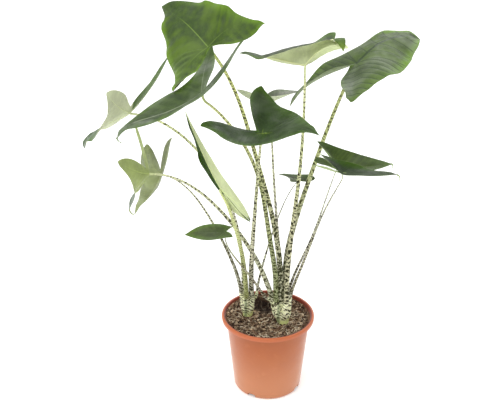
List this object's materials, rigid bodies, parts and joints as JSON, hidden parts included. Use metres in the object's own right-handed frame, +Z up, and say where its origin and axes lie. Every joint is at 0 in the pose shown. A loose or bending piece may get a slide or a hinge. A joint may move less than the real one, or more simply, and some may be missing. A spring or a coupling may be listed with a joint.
{
  "type": "potted aroid house plant",
  "caption": "Zebrina alocasia in a round terracotta-coloured nursery pot: arrow-shaped green blades on long, leaning stalks with dark zebra bands, rising from crowns in the soil.",
  "frame": {"origin": "on the floor, at the centre of the pot's flat underside", "axes": "+Z up along the pot's axis; -Y is the front, the side that the picture shows; +X is to the right seen from the front"},
  "size_m": [0.668, 0.4238, 0.781],
  "materials": {
    "pot": "satin",
    "soil": "matte",
    "crown": "satin",
    "stalk": "satin",
    "blade": "satin"
  },
  "bodies": {
    "root": {"pot": "pot", "potting_soil": "soil", "crown_left": "crown", "crown_right": "crown", "blade_crest": "blade", "blade_upper_left": "blade", "blade_far_left": "blade", "blade_mid_left_front": "blade", "blade_mid_left_rear": "blade", "blade_front_centre": "blade", "blade_folded": "blade", "blade_top_centre": "blade", "blade_low_left": "blade", "blade_top_right": "blade", "blade_rear_centre": "blade", "blade_right_upper": "blade", "blade_right_lower": "blade", "blade_small_rear": "blade", "stalk_crest": "stalk", "stalk_upper_left": "stalk", "stalk_far_left": "stalk", "stalk_mid_left_front": "stalk", "stalk_mid_left_rear": "stalk", "stalk_front_centre": "stalk", "stalk_folded": "stalk", "stalk_top_centre": "stalk", "stalk_low_left": "stalk", "stalk_top_right": "stalk", "stalk_rear_centre": "stalk", "stalk_right_upper": "stalk", "stalk_right_lower": "stalk", "stalk_small_rear": "stalk"}
  },
  "joints": []
}
